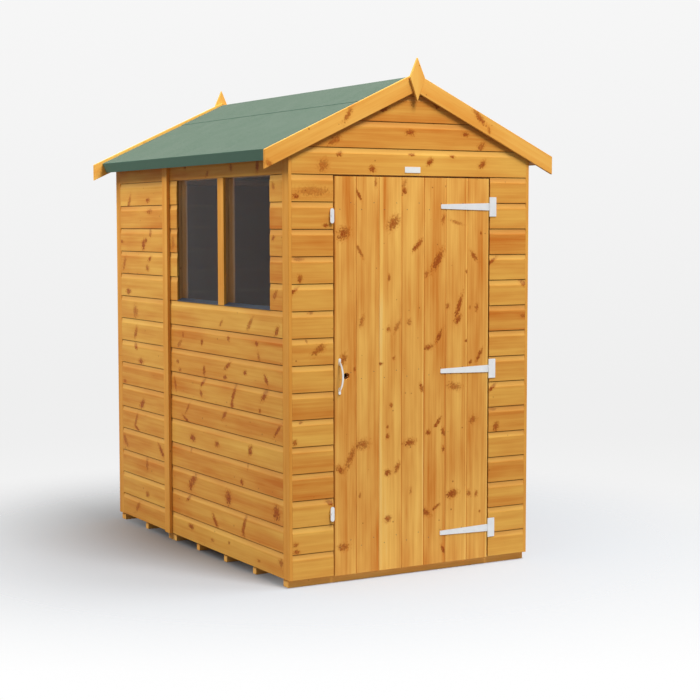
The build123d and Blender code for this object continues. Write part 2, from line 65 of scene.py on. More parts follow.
# Knots in the boards, as the photo shows them, in millimetres: place along the grain, place across it,
# half length, half width, lean from square to the grain in degrees, and strength as a share
seen_knots = {
    "door_boards": (
        (1466, -346, 28, 22, 30, 0.75), (944, -344, 22, 14, 70, 0.55), (525, -312, 45, 13, 65, 0.5),
        (481, -362, 20, 12, -40, 0.6), (150, -344, 22, 14, 0, 0.5), (900, -291, 10, 6, 90, 0.5),
        (1625, -269, 26, 6, -60, 0.65), (1680, -188, 20, 6, 90, 0.4), (1390, -265, 30, 6, -60, 0.5),
        (1100, -256, 20, 9, 70, 0.5), (578, -255, 30, 18, 10, 0.5), (362, -265, 10, 6, 80, 0.4),
        (1512, -100, 32, 20, 45, 0.55), (1279, -122, 12, 6, 80, 0.5), (1062, -125, 12, 8, 80, 0.5),
        (1075, -80, 30, 9, 60, 0.35), (938, -98, 8, 6, 60, 0.5), (916, -162, 8, 6, 0, 0.6),
        (737, -112, 9, 7, 90, 0.6), (646, -129, 6, 5, 90, 0.5), (606, -129, 10, 8, 90, 0.6),
        (450, -128, 14, 12, 30, 0.65), (469, -81, 22, 10, 60, 0.55), (250, -128, 16, 12, 30, 0.55),
        (1644, -48, 14, 10, 80, 0.75), (1675, -48, 18, 8, 60, 0.35), (1415, 19, 32, 9, 45, 0.85),
        (1090, -22, 13, 10, 90, 0.4), (806, 41, 17, 8, -75, 0.85), (571, -19, 26, 14, 10, 0.6),
        (362, -12, 12, 6, 90, 0.3), (1350, 121, 46, 15, 60, 1.0), (1291, 65, 14, 9, 60, 0.4),
        (1525, 150, 18, 8, 70, 0.5), (1025, 131, 28, 9, 60, 0.8), (978, 75, 22, 10, 10, 0.6),
        (646, 122, 28, 7, 55, 0.8), (609, 75, 12, 10, 0, 0.65), (604, 156, 18, 9, -70, 0.6),
        (531, 154, 12, 7, -80, 0.6), (262, 65, 24, 12, -40, 0.65), (281, 119, 20, 6, 30, 0.65),
        (88, 156, 20, 7, -65, 0.7), (1512, 219, 30, 6, -15, 0.35), (1150, 231, 50, 9, 70, 0.9),
        (1094, 229, 22, 10, 60, 0.7), (1152, 174, 12, 8, 90, 0.5), (998, 271, 8, 5, 0, 0.6),
        (1300, 271, 7, 5, 90, 0.5), (802, 212, 30, 14, -10, 0.45), (331, 200, 27, 16, 10, 0.8),
        (1365, 312, 26, 9, -50, 0.55), (1465, 346, 6, 5, 90, 0.7), (1141, 325, 15, 8, 80, 0.55),
        (1144, 290, 8, 5, 90, 0.4), (935, 341, 26, 8, 60, 0.8), (904, 294, 10, 6, 60, 0.6),
        (650, 309, 18, 13, 40, 0.45), (325, 288, 14, 10, -60, 0.45), (321, 328, 12, 8, 80, 0.5),
        (241, 346, 6, 5, 90, 0.6),
    ),
    "left_wall_below_window": (
        (-579, 1081, 35, 12, -45, 0.45), (-829, 1062, 22, 12, -45, 0.65), (-291, 1069, 20, 8, -50, 0.4),
        (-88, 972, 12, 12, 0, 0.75), (-366, 1006, 11, 12, 0, 0.6), (-641, 1000, 10, 14, 0, 0.65),
        (159, 950, 25, 10, -60, 0.4), (121, 994, 10, 10, 0, 0.4), (-660, 944, 20, 10, 30, 0.4),
        (-354, 882, 34, 9, -60, 0.9), (-329, 830, 9, 15, 0, 0.65), (-110, 842, 20, 12, 0, 0.65),
        (-529, 866, 9, 15, 0, 0.65), (-729, 851, 25, 11, 40, 0.65), (184, 864, 9, 13, 0, 0.5),
        (159, 826, 9, 13, 0, 0.45), (-716, 789, 36, 15, -50, 1.0), (-97, 789, 30, 9, -55, 0.65),
        (-75, 735, 16, 10, 40, 0.65), (-416, 764, 50, 11, -30, 0.6), (-400, 714, 12, 14, 0, 0.65),
        (215, 757, 30, 10, 20, 0.5), (-670, 714, 9, 11, 0, 0.6), (95, 600, 40, 7, 70, 0.7),
        (78, 651, 35, 7, -45, 0.45), (-322, 664, 30, 11, -50, 0.55), (-835, 651, 40, 8, -50, 0.65),
        (21, 520, 14, 24, 0, 0.75), (-241, 522, 12, 20, 0, 0.6), (-576, 535, 22, 15, -40, 0.8),
        (-491, 386, 12, 14, 0, 0.75), (40, 464, 14, 10, 0, 0.4), (-548, 464, 15, 7, 0, 0.4),
        (21, 322, 50, 18, -55, 0.65), (46, 289, 18, 16, 0, 0.7), (-356, 295, 29, 26, 0, 0.7),
        (-820, 301, 31, 26, 0, 0.7), (71, 232, 24, 9, -60, 0.65), (-216, 170, 36, 12, 45, 0.9),
        (-516, 207, 45, 11, -25, 0.6), (-504, 165, 20, 12, 30, 0.5), (46, 101, 12, 26, 0, 0.6),
        (-360, 95, 8, 9, 0, 0.45), (-860, 95, 16, 20, 0, 0.5), (-185, 76, 7, 15, 0, 0.45),
        (-654, 67, 6, 12, 0, 0.45),
    ),
    "left_wall_beside_window": (
        (-800, 1447, 14, 8, -60, 0.6), (-800, 1662, 12, 16, -60, 0.4), (228, 1420, 30, 20, 0, 0.35),
        (-815, 1212, 24, 12, -50, 0.45),
    ),
    "left_rear_wall": (
        (765, 1612, 35, 13, -30, 0.5), (528, 1621, 10, 20, 0, 0.75), (509, 1569, 12, 28, 0, 0.45),
        (584, 1406, 25, 18, -20, 0.8), (552, 1428, 10, 14, 0, 0.65), (509, 1338, 20, 9, -65, 0.65),
        (540, 1294, 14, 20, 0, 0.45), (834, 1312, 35, 14, -30, 0.4), (502, 1467, 20, 14, 0, 0.5),
        (784, 1172, 14, 25, 0, 0.75), (696, 1075, 28, 24, 0, 0.4), (696, 969, 30, 14, -30, 0.5),
        (871, 1419, 8, 25, 0, 0.5), (696, 901, 20, 14, 60, 0.7), (634, 830, 12, 26, 0, 0.8),
        (621, 620, 30, 16, -60, 0.85), (696, 492, 30, 9, 70, 0.7), (702, 532, 35, 11, -35, 0.45),
        (390, 414, 40, 12, 50, 0.9), (846, 414, 40, 14, 50, 0.45), (569, 332, 30, 14, 0, 0.45),
        (565, 176, 12, 20, 0, 0.45), (690, 95, 35, 13, -50, 0.4), (846, 715, 8, 16, 0, 0.5),
    ),
    "front_wall_left": (
        (-569, 1619, 9, 15, 0, 0.65), (-488, 1640, 18, 60, 0, 0.3), (-428, 1500, 7, 13, 0, 0.6),
        (-550, 1281, 15, 10, 0, 0.6), (-578, 1231, 21, 7, 50, 0.75), (-500, 1141, 7, 11, 0, 0.55),
        (-462, 988, 30, 15, 55, 0.5), (-519, 1025, 11, 4, -20, 0.5), (-575, 606, 12, 9, 0, 0.65),
        (-548, 690, 5, 8, 0, 0.6), (-412, 347, 22, 10, -55, 0.95), (-572, 181, 8, 11, 0, 0.5),
        (-569, 152, 9, 13, 0, 0.7), (-556, 1362, 7, 20, 0, 0.5),
    ),
    "front_wall_right": (
        (406, 1344, 28, 7, 55, 0.8), (572, 1245, 22, 10, -55, 0.95), (410, 785, 23, 7, 50, 0.8),
        (431, 612, 20, 13, 20, 0.55), (412, 690, 7, 20, 0, 0.45), (575, 1100, 9, 14, 0, 0.4),
    ),
    "front_gable": (
        (-206, 1734, 12, 14, 0, 0.85), (79, 1769, 17, 11, 40, 0.7), (350, 1762, 21, 12, 50, 0.65),
        (-12, 1798, 7, 13, 0, 0.65), (196, 1794, 6, 11, 0, 0.6), (-440, 1744, 25, 20, 30, 0.4),
        (-385, 1850, 30, 14, 55, 0.5), (-19, 1890, 12, 20, 0, 0.85), (262, 1890, 10, 14, 0, 0.65),
        (346, 1840, 24, 12, 50, 0.5), (-362, 1794, 10, 12, 0, 0.55), (-150, 1985, 12, 20, 0, 0.6),
        (110, 2010, 16, 10, -40, 0.6),
    ),
    "front_barge_boards left": ((-532, 1911, 36, 10, -56, 0.5), (-109, 1876, 22, 12, 20, 0.45)),
    "front_barge_boards right": ((-539, 1916, 38, 12, -70, 0.55), (-470, 1888, 14, 7, -40, 0.4)),
}

# Elsewhere chance knots, about one to each whorl of branches, between these sizes, leans and strengths
whorl_spacing = 0.26
first_whorl = (0.2, 1.0)
next_whorl = (0.6, 1.4)
chance_half_length = (0.010, 0.036)
chance_half_width = (0.007, 0.016)
chance_lean = (-60, 60)
chance_strength = (0.3, 0.65)
chance_edge = 0.02

# A knot's halo reaches this far, in its own radii. Two layers let the halos of neighbours overlap
knot_reach = 2.0
knot_layers = ("knot", "second_knot")

# Each board's grain starts at a chance place within this many metres
grain_range = 40

# Pale sapwood along the left and right edges of the door's boards, whole to a share of its width
sapwood_paleness = 1.1
sapwood_whole = 0.6
door_sapwood = ((0, 0), (0, 0), (0.022, 0), (0, 0.009), (0, 0), (0, 0.011), (0, 0.011))

# Tongued boards of the door, floor and roof
first_door_board = 0.104
door_board_cover = 0.112
door_vee = 0.0022
door_vee_depth = 0.003
lock_hole_inset = 0.057
lock_hole_radius = 0.014
lock_hole_sides = 32
drill_length = 0.12
floor_board_cover = 0.108
floor_joint_inset = 0.0165
floor_joint_gap = 0.001
roof_board_cover = 0.097
plain_vee = 0.0012
narrowest_share = 0.25

# Planed timbers
timber_arris = 0.0016
barge_arris = 0.0014
sharp_angle = radians(20)
flat_angle = radians(1)
weld_distance = 1e-5

# Felt
felt_fold = 0.000875
shortest_fold = 0.1

# Nails and screws. Those in a strap are counted from the strap's right end
nail_radius = 0.0021
nail_stand = 0.0006
nail_sides = 8
nail_inset = 0.026
nail_stagger = 0.014
screw_radius = 0.0042
screw_stand = 0.0009
screw_sides = 16
crown_share = 0.7
strap_thickness = 0.0025
strap_screw_places = (0.05, 0.13, 0.205)
hinge_plate_half = 0.042
plate_screw_inset = 0.014
plate_screw_rise = 0.028

# Blank plate over the door
plate_width = 0.077
plate_height = 0.025
plate_thickness = 0.0016
plate_rise = 0.026
plate_aside = -0.007
plate_round = 0.002

# Camera, from the perspective of the board joints in the photo
camera_place = (-3.60646, -6.63892, 1.4984)
camera_turn = 30.003
camera_dip = 4.492
camera_roll = 0.0275
camera_lens = 81.40
camera_sensor = 36

# Axes of the shed
ACROSS = Vector((1, 0, 0))
DEEP = Vector((0, 1, 0))
UP = Vector((0, 0, 1))

# Places read from the frame
gable_low, gable_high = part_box("front_gable")
boarding_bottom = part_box("front_wall_left")[0].z
door_head = gable_low.z
side_face = -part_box("left_rear_wall")[0].x
front_face = gable_low.y
ridge_underside = gable_high.z
side_wall_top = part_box("left_rear_wall")[1].z
slope = atan2(ridge_underside - side_wall_top, side_face)
window_low, window_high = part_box("window_panes")
door_low, door_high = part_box("door_boards")

# Directions square to the left slope of the roof, -1, and to the right one, 1, and down them
RISE = {side: Vector((side * sin(slope), 0, cos(slope))) for side in (-1, 1)}
FALL = {side: Vector((side * cos(slope), 0, -sin(slope))) for side in (-1, 1)}


def linear(code):
    """An sRGB hex colour as linear red, green, blue and alpha."""
    shares = [int(code[place:place + 2], 16) / 255 for place in (1, 3, 5)]
    return [share / 12.92 if share <= 0.04045 else ((share + 0.055) / 1.055) ** 2.4 for share in shares] + [1]


def node(tree, kind, inputs=None, **settings):
    """Adds a shader node, such as Math. An input takes a value, a socket, or a node's first output in use."""
    made = tree.nodes.new("ShaderNode" + kind)
    for name, value in settings.items():
        setattr(made, name, value)
    for key, value in (inputs or {}).items():
        if isinstance(value, bpy.types.Node):
            value = next(socket for socket in value.outputs if socket.enabled)
        if isinstance(value, bpy.types.NodeSocket):
            tree.links.new(value, made.inputs[key])
        else:
            made.inputs[key].default_value = value
    return made


def new_material(name):
    """An empty material and its node tree."""
    material = bpy.data.materials.new(name)
    material.use_nodes = True
    material.node_tree.nodes.clear()
    return material, material.node_tree


# Materials

def dipped_softwood(name, sapwood, heartwood, contrast=1.0):
    """Planed redwood or pine, dipped in a honey-coloured preservative.

    The preservative keeps the grain in view: pale sapwood, deeper heartwood and red-brown branch knots with
    an orange ring of resin round them. The laps are darker, partly from preservative gathered there and
    partly as painted shade under the lip, and the smooth cove beside them carries a painted highlight, paler
    where it turns up to the light. The sawn backs of wall boards drink more of the preservative and look dull
    and even.
    Pattern sizes are in metres, on each board's own grain: along it, across it and through it.
    """
    # Each kind of streak: width, length, detail of the noise, and share in the colour.
    # Growth rings are drawn several times wider than the real 2 or 3 mm, so that they show
    streak_kinds = {
        "band": (0.05, 1.1, 1.5, 1.4),
        "ring": (0.011, 0.45, 3.0, 0.9),
        "blotch": (0.08, 0.3, 2.0, 1.2),
        "fibre": (0.003, 0.1, 2.0, 0.4),
    }
    tone_span = (0.28, 0.68)
    palest = linear("#f4cb7c")
    # Painted highlight: the cove is made paler, as if it caught the light where it turns up
    cove_painted_highlight = linear("#f6c876")
    cove_highlight_share = 0.22
    sawn_wood = linear("#7c5630")
    sawn_share = 0.85
    # The laps are darkened: partly preservative gathered there, partly painted shade under the lip
    lap_dark_dip_and_shade = linear("#2c1606")
    lap_dark_share = 0.65
    # Branch knots: edges in their own radii, rings to a radius, and how far growth rings beside them part
    ragged_size = 0.009
    raggedness = 2.6
    core_edge = (0.45, 1.3)
    halo_edge = (0.6, 2.0)
    knot_boost = 1.5
    knot_rings = 1.3
    parting = 0.007
    resin = linear("#c66e1e")
    resin_share = 0.6
    knot_pale = linear("#a9521a")
    knot_dark = linear("#7c340c")
    # Pin knots
    pin_spacing = (0.12, 0.06, 1)
    largest_pin = 0.0042
    pin_edge = (-0.0015, 0.002)
    pin_wood = linear("#94491a")
    pin_share = 0.7

    material, tree = new_material(name)
    grain = node(tree, "Attribute", attribute_name="grain").outputs["Vector"]
    tone = node(tree, "Attribute", attribute_name="tone").outputs["Fac"]
    dark_laps_painted_cove_highlight = node(tree, "Attribute", attribute_name="dark_laps_painted_cove_highlight").outputs["Fac"]
    back = node(tree, "Attribute", attribute_name="back").outputs["Fac"]
    where = node(tree, "SeparateXYZ", {0: grain})

    # Branch knots: a ragged, ringed core and a halo, from the place in the knot counted in its own radii.
    # The growth rings beside a knot part round it.
    rough = node(tree, "TexNoise", {"Vector": grain, "Scale": 1 / ragged_size, "Detail": 3.0})
    patchy = node(tree, "MapRange", {"Value": rough.outputs[0], "From Min": 0.36, "From Max": 0.54,
                                     "To Min": 0.5, "To Max": 1.0})
    ragged = node(tree, "VectorMath", {0: rough.outputs["Color"], 1: (0.5, 0.5, 0.5)}, operation="SUBTRACT")
    knots = []
    across = where.outputs[1]
    for layer in knot_layers:
        knot = node(tree, "Attribute", attribute_name=layer).outputs["Vector"]
        place = node(tree, "SeparateXYZ", {0: knot})
        strength = node(tree, "Math", {0: place.outputs[2], 1: knot_boost}, operation="MULTIPLY",
                        use_clamp=True)
        flat = node(tree, "CombineXYZ", {0: place.outputs[0], 1: place.outputs[1]})
        edge = node(tree, "VectorMath", {0: ragged, 1: (raggedness, raggedness, 0), 2: flat},
                    operation="MULTIPLY_ADD")
        reach = node(tree, "VectorMath", {0: edge}, operation="LENGTH").outputs["Value"]
        spread = []
        for inner, outer in (core_edge, halo_edge):
            share = node(tree, "MapRange", {"Value": reach, "From Min": inner, "From Max": outer,
                                            "To Min": 1.0, "To Max": 0.0},
                         interpolation_type="SMOOTHSTEP")
            spread.append(node(tree, "Math", {0: share, 1: strength}, operation="MULTIPLY"))
        core, halo = spread
        turn = node(tree, "Math", {0: reach, 1: 2 * pi * knot_rings}, operation="MULTIPLY")
        turn = node(tree, "Math", {0: turn}, operation="COSINE")
        rings = node(tree, "MapRange", {"Value": turn, "From Min": -1.0})
        knots.append((core, halo, rings))
        aside = node(tree, "Math", {0: place.outputs[0], 1: halo}, operation="MULTIPLY")
        across = node(tree, "Math", {0: aside, 1: -parting, 2: across}, operation="MULTIPLY_ADD")

    # Pin knots: small round ones between the others
    cells = node(tree, "VectorMath", {0: grain, 1: pin_spacing}, operation="DIVIDE")
    pins = node(tree, "TexVoronoi", {"Vector": cells, "Scale": 1.0}, voronoi_dimensions="2D")
    from_pin = node(tree, "VectorMath", {0: cells, 1: pins.outputs["Position"]}, operation="SUBTRACT")
    from_pin = node(tree, "VectorMath", {0: from_pin, 1: (*pin_spacing[:2], 0)}, operation="MULTIPLY")
    pin_reach = node(tree, "VectorMath", {0: from_pin}, operation="LENGTH").outputs["Value"]
    pin_chance = node(tree, "SeparateColor", {0: pins.outputs["Color"]})
    pin_radius = node(tree, "MapRange", {"Value": pin_chance.outputs[0], "From Min": 0.7,
                                         "To Min": 0.0, "To Max": largest_pin})
    pin = node(tree, "Math", {0: pin_radius, 1: pin_reach}, operation="SUBTRACT")
    pin = node(tree, "MapRange", {"Value": pin, "From Min": pin_edge[0], "From Max": pin_edge[1],
                                  "To Max": pin_share}, interpolation_type="SMOOTHSTEP")

    # Growth rings and other streaks run along the board and deepen its own tone
    flow = node(tree, "CombineXYZ", {0: where.outputs[0], 1: across, 2: where.outputs[2]})
    streaks = {}
    depth = node(tree, "MapRange", {"Value": tone, "To Min": tone_span[0], "To Max": tone_span[1]},
                 clamp=False)
    for kind, (width, length, detail, share) in streak_kinds.items():
        stretched = node(tree, "VectorMath", {0: flow, 1: (1 / length, 1 / width, 1 / width)},
                         operation="MULTIPLY")
        streaks[kind] = node(tree, "TexNoise",
                             {"Vector": stretched, "Scale": 1.0, "Detail": detail}).outputs[0]
        centred = node(tree, "Math", {0: streaks[kind], 1: 0.5}, operation="SUBTRACT")
        depth = node(tree, "Math", {0: centred, 1: contrast * share, 2: depth}, operation="MULTIPLY_ADD")

    # Colour: from sapwood to heartwood, then the knots, the painted highlight on the cove, the sawn back and
    # the laps over it, darkened partly by preservative and partly as painted shade
    pale = node(tree, "MapRange", {"Value": depth, "From Min": 0.0, "From Max": -0.6})
    layers = [(pale, palest)]
    for core, halo, rings in knots:
        resin_ring = node(tree, "Math", {0: halo, 1: resin_share}, operation="MULTIPLY")
        heart = node(tree, "Math", {0: core, 1: patchy}, operation="MULTIPLY")
        knot_wood = node(tree, "Mix", {0: rings, 6: knot_pale, 7: knot_dark}, data_type="RGBA")
        layers += [(resin_ring, resin), (heart, knot_wood)]
    # Painted highlight on the cove; the laps darkened, partly by preservative and partly as painted shade
    cove = node(tree, "MapRange", {"Value": dark_laps_painted_cove_highlight, "From Max": -1.0, "To Max": cove_highlight_share})
    sawn = node(tree, "MapRange", {"Value": back, "To Max": sawn_share})
    groove = node(tree, "MapRange", {"Value": dark_laps_painted_cove_highlight, "To Max": lap_dark_share})
    layers += [(pin, pin_wood), (cove, cove_painted_highlight), (sawn, sawn_wood), (groove, lap_dark_dip_and_shade)]
    colour = node(tree, "Mix", {0: depth, 6: linear(sapwood), 7: linear(heartwood)}, data_type="RGBA")
    for share, paint in layers:
        colour = node(tree, "Mix", {0: share, 6: colour, 7: paint}, data_type="RGBA")

    height = node(tree, "Math", {0: streaks["ring"], 1: streaks["fibre"]}, operation="ADD")
    bump = node(tree, "Bump", {"Height": height, "Strength": 0.2, "Distance": 0.0008})
    roughness = node(tree, "MapRange", {"Value": streaks["ring"], "To Min": 0.5, "To Max": 0.7})
    shader = node(tree, "BsdfPrincipled", {"Base Color": colour, "Roughness": roughness,
                                           "Normal": bump, "Specular IOR Level": 0.15})
    node(tree, "OutputMaterial", {0: shader})
    return material


def mineral_felt():
    """Roofing felt with green mineral chips pressed into the bitumen, which gives a dull, gritty face.

    Dust dulls it in patches. Faces that turn down from the slope, such as the turned-down edges, are painted
    paler: painted light where the lamps reach them little.
    """
    # Chips are about 1 mm across, drawn at 4 mm so that they show
    chip = 0.004
    clump = 0.01
    patch = 0.12
    chip_dark = linear("#435648")
    chip_pale = linear("#5c695d")
    dust = linear("#626c62")
    # Painted light: a paler felt for faces that turn down from the slope, where the lamps reach little
    felt_painted_lit_edge = linear("#6e9280")

    material, tree = new_material("green mineral felt, rolled")
    place = node(tree, "TexCoord").outputs["Object"]
    chips = node(tree, "TexVoronoi", {"Vector": place, "Scale": 1 / chip})
    grit = node(tree, "TexNoise", {"Vector": place, "Scale": 1 / clump, "Detail": 3.0})
    patches = node(tree, "TexNoise", {"Vector": place, "Scale": 1 / patch, "Detail": 3.0})
    chance = node(tree, "SeparateColor", {0: chips.outputs["Color"]})
    share = node(tree, "Math", {0: chance.outputs[0], 1: 0.55}, operation="MULTIPLY")
    share = node(tree, "Math", {0: grit.outputs[0], 1: 0.5, 2: share}, operation="MULTIPLY_ADD")
    dusty = node(tree, "MapRange", {"Value": patches.outputs[0], "From Min": 0.35, "From Max": 0.75,
                                    "To Max": 0.3})
    # Painted light: the more a face turns down from the slope, the paler it is made
    facing = node(tree, "SeparateXYZ", {0: node(tree, "NewGeometry").outputs["True Normal"]})
    painted_edge_light = node(tree, "MapRange", {"Value": facing.outputs[2], "From Min": 0.8, "From Max": 0.3,
                                    "To Max": 0.75})
    colour = node(tree, "Mix", {0: share, 6: chip_dark, 7: chip_pale}, data_type="RGBA")
    colour = node(tree, "Mix", {0: dusty, 6: colour, 7: dust}, data_type="RGBA")
    colour = node(tree, "Mix", {0: painted_edge_light, 6: colour, 7: felt_painted_lit_edge}, data_type="RGBA")
    height = node(tree, "Math", {0: chips.outputs["Distance"], 1: grit.outputs[0]}, operation="ADD")
    bump = node(tree, "Bump", {"Height": height, "Strength": 0.5, "Distance": 0.0012})
    shader = node(tree, "BsdfPrincipled", {"Base Color": colour, "Roughness": 0.95, "Normal": bump,
                                           "Specular IOR Level": 0.2})
    node(tree, "OutputMaterial", {0: shader})
    return material


def zinc_plate():
    """Pressed steel with a bright zinc plating: pale, slightly cloudy, with soft reflections."""
    cloud = 0.03
    scratch = 0.002
    dull = linear("#dfe1e3")
    bright = linear("#f6f6f5")
    material, tree = new_material("bright zinc-plated steel, pressed")
    place = node(tree, "TexCoord").outputs["Object"]
    clouds = node(tree, "TexNoise", {"Vector": place, "Scale": 1 / cloud, "Detail": 4.0})
    fine = node(tree, "TexNoise", {"Vector": place, "Scale": 1 / scratch, "Detail": 2.0})
    colour = node(tree, "Mix", {0: clouds.outputs[0], 6: dull, 7: bright}, data_type="RGBA")
    roughness = node(tree, "MapRange", {"Value": clouds.outputs[0], "To Min": 0.3, "To Max": 0.5})
    bump = node(tree, "Bump", {"Height": fine.outputs[0], "Strength": 0.1, "Distance": 0.0003})
    shader = node(tree, "BsdfPrincipled", {"Base Color": colour, "Metallic": 1.0,
                                           "Roughness": roughness, "Normal": bump})
    node(tree, "OutputMaterial", {0: shader})
    return material


def clear_glazing():
    """Clear acrylic glazing sheet, extruded: smooth, faintly grey, with a light film of dust."""
    smear = 0.09
    material, tree = new_material("clear acrylic glazing, extruded")
    place = node(tree, "TexCoord").outputs["Object"]
    dust = node(tree, "TexNoise", {"Vector": place, "Scale": 1 / smear, "Detail": 4.0})
    roughness = node(tree, "MapRange", {"Value": dust.outputs[0], "To Min": 0.04, "To Max": 0.14})
    shader = node(tree, "BsdfPrincipled", {"Base Color": linear("#ececee"), "Roughness": roughness,
                                           "IOR": 1.12, "Transmission Weight": 1.0})
    node(tree, "OutputMaterial", {0: shader})
    return material


def dark_strip():
    """Dark blue-grey plastic strip, extruded, with a satin upper face."""
    streak = 0.004
    streak_length = 0.5
    dark = linear("#1d232b")
    pale = linear("#333e4b")
    material, tree = new_material("blue-grey plastic strip, extruded")
    place = node(tree, "TexCoord").outputs["Object"]
    stretched = node(tree, "Mapping", {"Vector": place,
                                       "Scale": (1 / streak, 1 / streak_length, 1 / streak)})
    lines = node(tree, "TexNoise", {"Vector": stretched, "Scale": 1.0, "Detail": 2.0})
    colour = node(tree, "Mix", {0: lines.outputs[0], 6: dark, 7: pale}, data_type="RGBA")
    shader = node(tree, "BsdfPrincipled", {"Base Color": colour, "Roughness": 0.38})
    node(tree, "OutputMaterial", {0: shader})
    return material


def blank_enamel():
    """White enamelled aluminium plate: smooth, a little glossy, with faint clouding."""
    cloud = 0.02
    grey = linear("#e3e3e0")
    white = linear("#f2f2ef")
    material, tree = new_material("white enamelled plate")
    place = node(tree, "TexCoord").outputs["Object"]
    clouds = node(tree, "TexNoise", {"Vector": place, "Scale": 1 / cloud, "Detail": 2.0})
    colour = node(tree, "Mix", {0: clouds.outputs[0], 6: grey, 7: white}, data_type="RGBA")
    shader = node(tree, "BsdfPrincipled", {"Base Color": colour, "Roughness": 0.3})
    node(tree, "OutputMaterial", {0: shader})
    return material


wall_wood = dipped_softwood("dipped redwood shiplap, planed", "#eab353", "#cb7528", contrast=0.75)
door_wood = dipped_softwood("dipped redwood door boards, planed", "#f5be60", "#ce7829", contrast=0.95)
trim_wood = dipped_softwood("dipped redwood strips, planed", "#ecab4e", "#d68b35")
barge_wood = dipped_softwood("dipped redwood barge boards, planed", "#f3bd5e", "#e39a40")
# The bearers are painted paler than the walls: painted light against the shade under the boarding
bearer_wood_painted_paler = dipped_softwood("dipped redwood bearers, sawn", "#ffc468", "#f0a64c")
frame_wood = dipped_softwood("dipped redwood framing, sawn", "#dfb27c", "#c58e58")
felt = mineral_felt()
zinc = zinc_plate()
glazing = clear_glazing()
strip_plastic = dark_strip()
enamel = blank_enamel()


# Making and placing pieces

def new_object(name, shape):
    """Turns a bmesh into an object of the scene."""
    mesh = bpy.data.meshes.new(name)
    shape.to_mesh(mesh)
    shape.free()
    made = bpy.data.objects.new(name, mesh)
    scene.collection.objects.link(made)
    return made


def new_piece(name, shape, material, body, slot, *replaced):
    """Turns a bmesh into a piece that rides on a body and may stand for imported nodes."""
    piece = new_object(name, shape)
    piece.data.materials.append(material)
    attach(piece, body)
    if replaced:
        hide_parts(*replaced)
    return piece


def joined(shapes):
    """One bmesh that holds several, in their order."""
    whole = bmesh.new()
    for shape in shapes:
        scrap = bpy.data.meshes.new("scrap")
        shape.to_mesh(scrap)
        shape.free()
        whole.from_mesh(scrap)
        bpy.data.meshes.remove(scrap)
    return whole


def node_shape(name):
    """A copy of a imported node's solids with whole faces instead of loose triangles."""
    shape = bmesh.new()
    shape.from_mesh(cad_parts[name].data)
    bmesh.ops.remove_doubles(shape, verts=shape.verts, dist=weld_distance)
    bmesh.ops.dissolve_limit(shape, angle_limit=flat_angle, verts=shape.verts, edges=shape.edges)
    for layer in shape.loops.layers.uv.values():
        shape.loops.layers.uv.remove(layer)
    return shape


def drawn_bar(outline, length):
    """A closed bar along X: an outline of depth and height, drawn out to a length."""
    bar = bmesh.new()
    end = bar.faces.new([bar.verts.new((0, depth, height)) for depth, height in outline])
    drawn = bmesh.ops.extrude_face_region(bar, geom=[end])["geom"]
    far_verts = [part for part in drawn if isinstance(part, bmesh.types.BMVert)]
    bmesh.ops.translate(bar, vec=(length, 0, 0), verts=far_verts)
    return bar


def set_in_place(shape, origin, along, inward, across):
    """Moves a bar from its own X, Y and Z to the given place and directions."""
    turn = Matrix((along, inward, across)).transposed().to_4x4()
    bmesh.ops.transform(shape, matrix=Matrix.Translation(origin) @ turn, verts=shape.verts)
    bmesh.ops.recalc_face_normals(shape, faces=shape.faces)


def cut(shape, point, normal, clear_outer=False):
    """Cuts a shape's faces along a plane. Returns the parts that lie on the cut."""
    parts = shape.verts[:] + shape.edges[:] + shape.faces[:]
    made = bmesh.ops.bisect_plane(shape, geom=parts, plane_co=point, plane_no=normal, clear_outer=clear_outer)
    return made["geom_cut"]


def trim(shape, point, outward):
    """Cuts away what lies beyond a plane and closes the cut."""
    parts = cut(shape, point, outward, clear_outer=True)
    edges = [part for part in parts if isinstance(part, bmesh.types.BMEdge)]
    if edges:
        bmesh.ops.edgeloop_fill(shape, edges=edges)


def sharp_edges(shape):
    """The edges at which a shape's faces turn a corner."""
    return [edge for edge in shape.edges if edge.calc_face_angle(0) > sharp_angle]


def ease(shape, edges, width, steps=2):
    """Rounds edges a little, as planing, pressing or folding leaves them."""
    bmesh.ops.bevel(shape, geom=edges, offset=width, offset_type="OFFSET", affect="EDGES", segments=steps,
                    profile=0.5, material=-1, clamp_overlap=True)


def extent(verts, direction):
    """How far vertices reach along a direction: from where, and to where."""
    places = [vert.co.dot(direction) for vert in verts]
    return min(places), max(places)


def islands(shape):
    """The vertices of each separate solid, in the order of their first vertices."""
    found = set()
    for first in shape.verts:
        if first not in found:
            found.add(first)
            solid = [first]
            # The list grows while its neighbours are found
            for vert in solid:
                for edge in vert.link_edges:
                    other = edge.other_vert(vert)
                    if other not in found:
                        found.add(other)
                        solid.append(other)
            yield solid


# Grain and knots of boards and timbers

def grain_layers(shape):
    """The two vertex layers that carry a board's grain and tone."""
    return shape.verts.layers.float_vector.new("grain"), shape.verts.layers.float.new("tone")


def mark_grain(verts, layers, along, across, chance):
    """Gives one board its own grain: metres along, across and through it, and its own tone."""
    grain, tone = layers
    through = along.cross(across)
    shift = Vector([chance.uniform(0, grain_range) for _ in range(3)])
    board_tone = chance.random()
    for vert in verts:
        place = Vector((vert.co.dot(along), vert.co.dot(across), vert.co.dot(through)))
        vert[grain] = place + shift
        vert[tone] = board_tone


